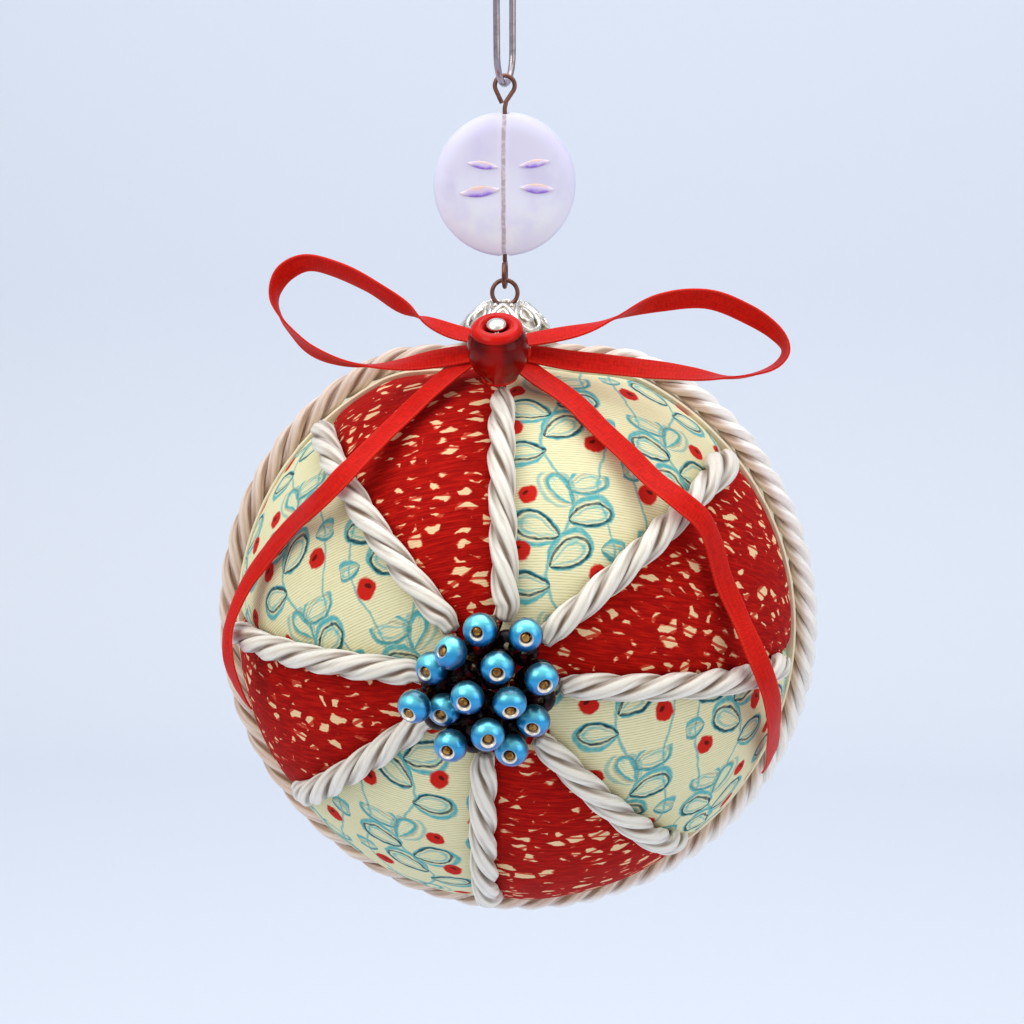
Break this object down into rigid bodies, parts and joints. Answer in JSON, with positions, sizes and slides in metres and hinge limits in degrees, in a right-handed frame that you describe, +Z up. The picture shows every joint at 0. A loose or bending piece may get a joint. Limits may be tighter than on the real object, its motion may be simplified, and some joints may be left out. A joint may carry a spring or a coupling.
{
  "type": "temari style fabric ball ornament with wire hook",
  "caption": "Cloth panelled ball ornament with twisted cords on its seams, a cluster of seed beads, a ribbon bow and a flat glass bead, hanging from a wire hook.",
  "frame": {"origin": "inside top of the hook's upper crook, where a branch carries it", "axes": "+Z up along the hanging line, the bead cluster faces -Y"},
  "size_m": [0.0758, 0.0792, 0.1474],
  "materials": {
    "cream_cotton": "woven cotton with a printed leaf and berry sprig",
    "red_cotton": "woven cotton with a printed net of fine lines",
    "satin_cord": "satin",
    "tape": "woven",
    "blue_glass": "silver lined glass, glossy",
    "garnet_glass": "glossy",
    "satin_ribbon": "satin",
    "red_glass": "faceted glass, glossy",
    "silver": "bright plated",
    "copper_wire": "antique copper",
    "lilac_glass": "frosted",
    "steel_wire": "drawn wire"
  },
  "bodies": {
    "ornament": {"front_panel_1_cream": "cream_cotton", "back_panel_1_cream": "cream_cotton", "front_panel_2_red": "red_cotton", "back_panel_2_red": "red_cotton", "front_panel_3_cream": "cream_cotton", "back_panel_3_cream": "cream_cotton", "front_panel_4_red": "red_cotton", "back_panel_4_red": "red_cotton", "front_panel_5_cream": "cream_cotton", "back_panel_5_cream": "cream_cotton", "front_panel_6_red": "red_cotton", "back_panel_6_red": "red_cotton", "front_panel_7_cream": "cream_cotton", "back_panel_7_cream": "cream_cotton", "front_panel_8_red": "red_cotton", "back_panel_8_red": "red_cotton", "seam_cord_top": "satin_cord", "seam_cord_upper_right": "satin_cord", "seam_cord_right": "satin_cord", "seam_cord_lower_right": "satin_cord", "seam_cord_bottom": "satin_cord", "seam_cord_lower_left": "satin_cord", "seam_cord_left": "satin_cord", "seam_cord_upper_left": "satin_cord", "rim_tape": "tape", "rim_cord": "satin_cord", "blue_bead_01": "blue_glass", "blue_bead_02": "blue_glass", "blue_bead_03": "blue_glass", "blue_bead_04": "blue_glass", "blue_bead_05": "blue_glass", "blue_bead_06": "blue_glass", "blue_bead_07": "blue_glass", "blue_bead_08": "blue_glass", "blue_bead_09": "blue_glass", "blue_bead_10": "blue_glass", "blue_bead_11": "blue_glass", "blue_bead_12": "blue_glass", "blue_bead_13": "blue_glass", "blue_bead_14": "blue_glass", "garnet_bead_1": "garnet_glass", "garnet_bead_2": "garnet_glass", "garnet_bead_3": "garnet_glass", "garnet_bead_4": "garnet_glass", "ribbon_bow": "satin_ribbon", "bow_bead": "red_glass", "bow_pin": "silver", "bead_cap": "silver", "ball_ring": "copper_wire", "link_pin": "copper_wire", "hook": "steel_wire"},
    "coin": {"coin_bead": "lilac_glass"}
  },
  "joints": [
    {"name": "coin_spin", "type": "hinge", "parent": "ornament", "child": "coin", "pos_m": [0, 0, -0.05357], "axis": [0, 0, 1], "continuous": true}
  ]
}
